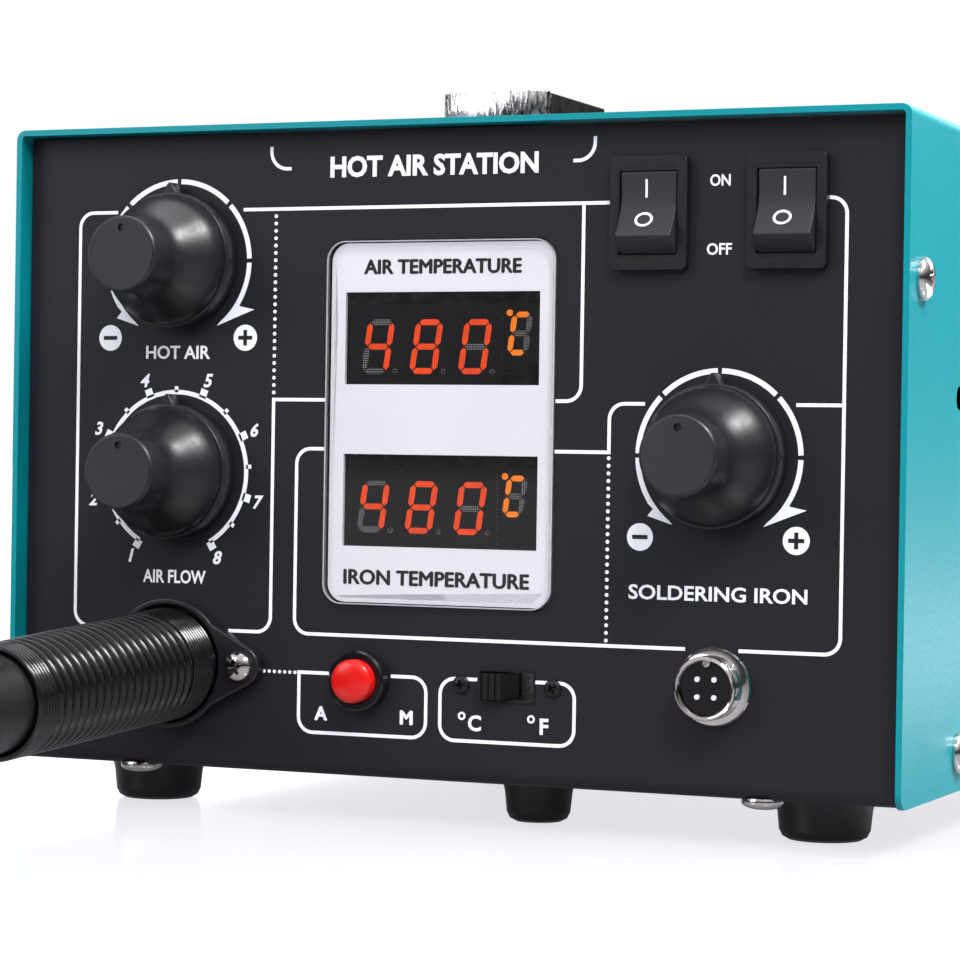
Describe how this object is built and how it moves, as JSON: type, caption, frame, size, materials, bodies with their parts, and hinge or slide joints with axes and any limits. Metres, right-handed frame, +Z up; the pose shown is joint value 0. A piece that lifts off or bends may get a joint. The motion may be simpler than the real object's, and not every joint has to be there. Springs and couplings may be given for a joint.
{
  "type": "hot air station",
  "caption": "Hot-air rework and soldering station: steel case with knobs, rocker switches, twin display, ribbed hose outlet, coiled air hose and handpiece.",
  "frame": {"origin": "middle of the case's footprint on the surface that it stands on", "axes": "+X to the right as seen from the front, +Y from the front panel to the rear, +Z up"},
  "size_m": [0.4159, 0.417, 0.1465],
  "materials": {
    "teal_paint": "fine textured powder coat",
    "black_paint": "matt powder coat",
    "chrome": "polished plating",
    "steel": "bright stainless",
    "silver_plate": "satin",
    "clear_lens": "clear acrylic",
    "black_plastic": "moulded, fine grain",
    "gloss_black": "semi-gloss moulding",
    "red_plastic": "gloss",
    "rubber": "semi-matt black rubber",
    "brass": "turned",
    "ceramic": "ceramic",
    "circuit_board": "solder mask",
    "iron_core": "varnished laminations",
    "cast_alloy": "cast and turned alloy",
    "black_steel": "black oxide"
  },
  "bodies": {
    "root": {"chassis": "black_paint", "cover": "teal_paint", "cover_screws": "chrome", "handle_strap": "rubber", "handle_block_front": "gloss_black", "handle_block_rear": "gloss_black", "handle_noses": "chrome", "handle_screws": "chrome", "foot_front_left": "rubber", "foot_front_right": "rubber", "foot_rear_left": "rubber", "foot_rear_right": "rubber", "centre_foot": "rubber", "foot_screws": "chrome", "base_screws": "chrome", "display_lens": "clear_lens", "display_plate": "silver_plate", "air_display": "black_plastic", "iron_display": "black_plastic", "display_board": "circuit_board", "heat_pot": "steel", "flow_pot": "steel", "iron_pot": "steel", "panel_nuts": "steel", "air_switch_housing": "black_plastic", "iron_switch_housing": "black_plastic", "button_housing": "gloss_black", "slide_switch_body": "steel", "slide_screws": "black_steel", "socket_shell": "chrome", "socket_insert": "gloss_black", "socket_pins": "brass", "hose_flange": "gloss_black", "flange_screws": "chrome", "hose_boot": "gloss_black", "outlet_pipe": "brass", "hose": "gloss_black", "hose_coil": "gloss_black", "hose_tail": "gloss_black", "gun_grip": "black_plastic", "gun_barrel": "steel", "gun_nozzle": "steel", "gun_heater": "ceramic", "mains_inlet": "black_plastic", "inlet_pins": "brass", "fuse_holder": "black_plastic", "transformer": "iron_core", "air_pump": "cast_alloy", "pump_mounts": "rubber", "main_board": "circuit_board"},
    "heat_knob": {"heat_knob": "black_plastic", "heat_shaft": "cast_alloy"},
    "flow_knob": {"flow_knob": "black_plastic", "flow_shaft": "cast_alloy"},
    "iron_knob": {"iron_knob": "black_plastic", "iron_shaft": "cast_alloy"},
    "air_rocker": {"air_rocker": "black_plastic"},
    "iron_rocker": {"iron_rocker": "black_plastic"},
    "mode_button": {"button_cap": "red_plastic"},
    "unit_slider": {"slide_actuator": "gloss_black"}
  },
  "joints": [
    {"name": "heat_knob_turn", "type": "hinge", "parent": "root", "child": "heat_knob", "pos_m": [-0.058, -0.1287, 0.1098], "axis": [0, 1, 0], "range_deg": [-150, 150]},
    {"name": "flow_knob_turn", "type": "hinge", "parent": "root", "child": "flow_knob", "pos_m": [-0.058, -0.1287, 0.0677], "axis": [0, 1, 0], "range_deg": [-150, 150]},
    {"name": "iron_knob_turn", "type": "hinge", "parent": "root", "child": "iron_knob", "pos_m": [0.0565, -0.1287, 0.0723], "axis": [0, 1, 0], "range_deg": [-150, 150]},
    {"name": "air_rocker_tilt", "type": "hinge", "parent": "root", "child": "air_rocker", "pos_m": [0.0425, -0.1163, 0.1177], "axis": [1, 0, 0], "range_deg": [0, 30]},
    {"name": "iron_rocker_tilt", "type": "hinge", "parent": "root", "child": "iron_rocker", "pos_m": [0.0695, -0.1163, 0.1177], "axis": [1, 0, 0], "range_deg": [0, 30]},
    {"name": "mode_button_press", "type": "slide", "parent": "root", "child": "mode_button", "axis": [0, 1, 0], "range_m": [0, 0.0025], "stiffness_N_per_m": 400, "springref_m": -0.001},
    {"name": "unit_slider_shift", "type": "slide", "parent": "root", "child": "unit_slider", "axis": [1, 0, 0], "range_m": [0, 0.0054]}
  ]
}
